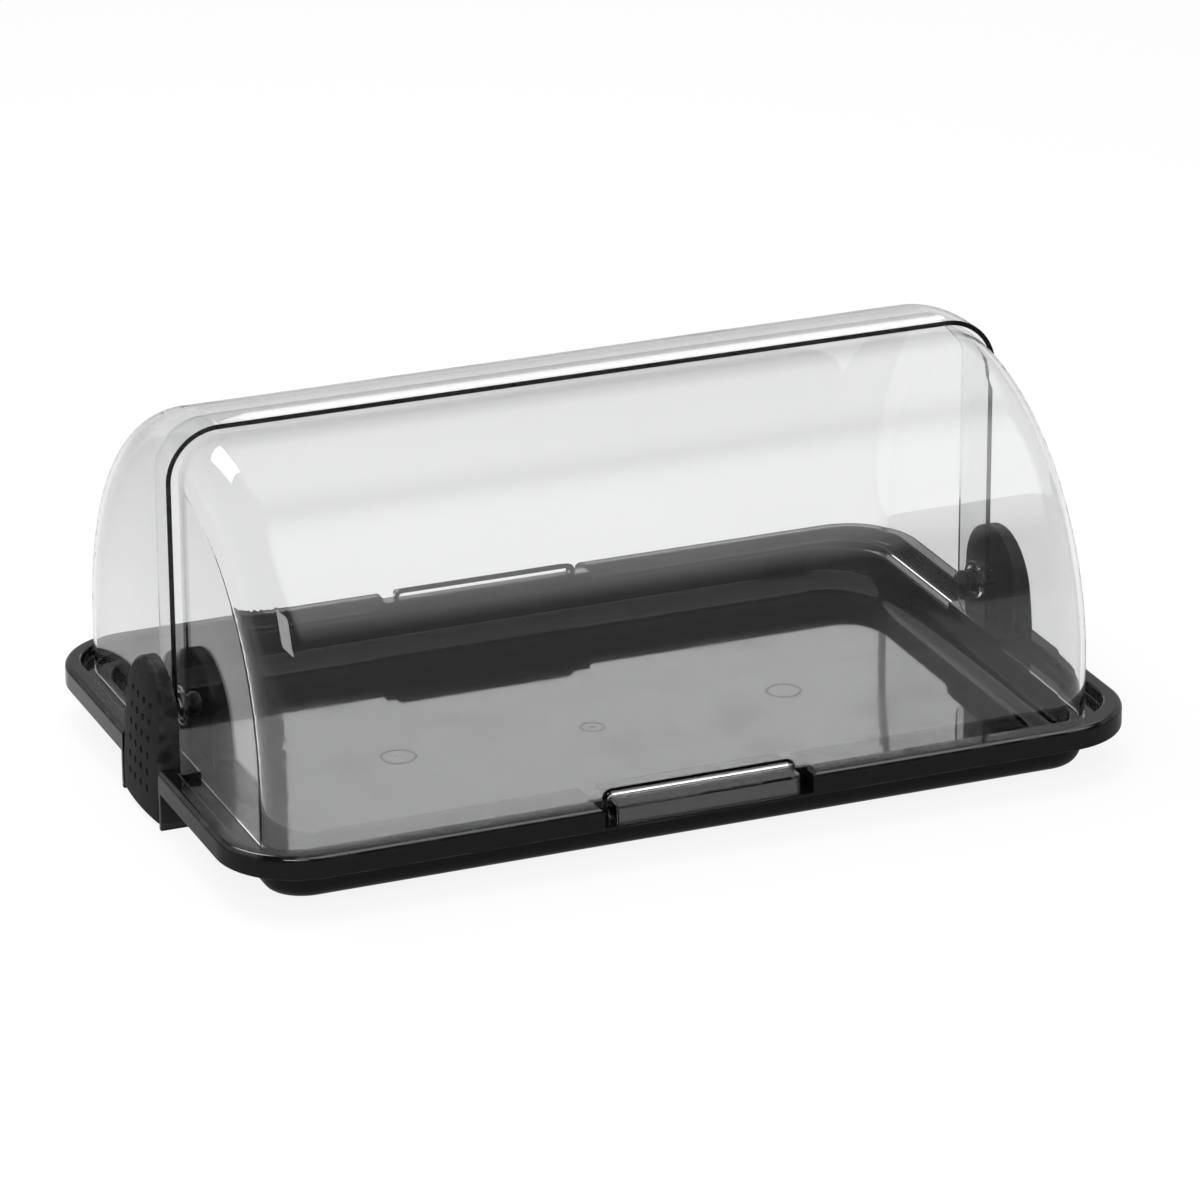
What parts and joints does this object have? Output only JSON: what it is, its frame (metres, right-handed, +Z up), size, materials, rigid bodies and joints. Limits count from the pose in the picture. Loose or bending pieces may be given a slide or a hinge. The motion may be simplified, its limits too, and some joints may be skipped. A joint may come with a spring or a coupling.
{
  "type": "roll-top buffet display case",
  "caption": "Free-standing buffet display case: a black tray with a deep well under a front and a rear clear roll-top cover that nest as they turn on end brackets.",
  "frame": {"origin": "middle of the tray's underside, on the surface that the case stands on", "axes": "+X along the case's long side to the right as seen from the front, +Y to the rear, +Z up"},
  "size_m": [0.569, 0.3688, 0.234],
  "materials": {
    "gloss_black": "glossy moulded black plastic",
    "matt_black": "fine-grained matt black plastic",
    "clear_plastic": "clear see-through plastic, polished"
  },
  "bodies": {
    "base": {"tray": "gloss_black", "left_bracket": "matt_black", "right_bracket": "matt_black", "left_hinge_pin": "matt_black", "right_hinge_pin": "matt_black"},
    "front_cover": {"front_cover": "clear_plastic"},
    "rear_cover": {"rear_cover": "clear_plastic"}
  },
  "joints": [
    {"name": "front_cover_hinge", "type": "hinge", "parent": "base", "child": "front_cover", "pos_m": [0, 0, 0.0615], "axis": [-1, 0, 0], "range_deg": [0, 47]},
    {"name": "rear_cover_hinge", "type": "hinge", "parent": "base", "child": "rear_cover", "pos_m": [0, 0, 0.0615], "axis": [1, 0, 0], "range_deg": [0, 47]}
  ]
}
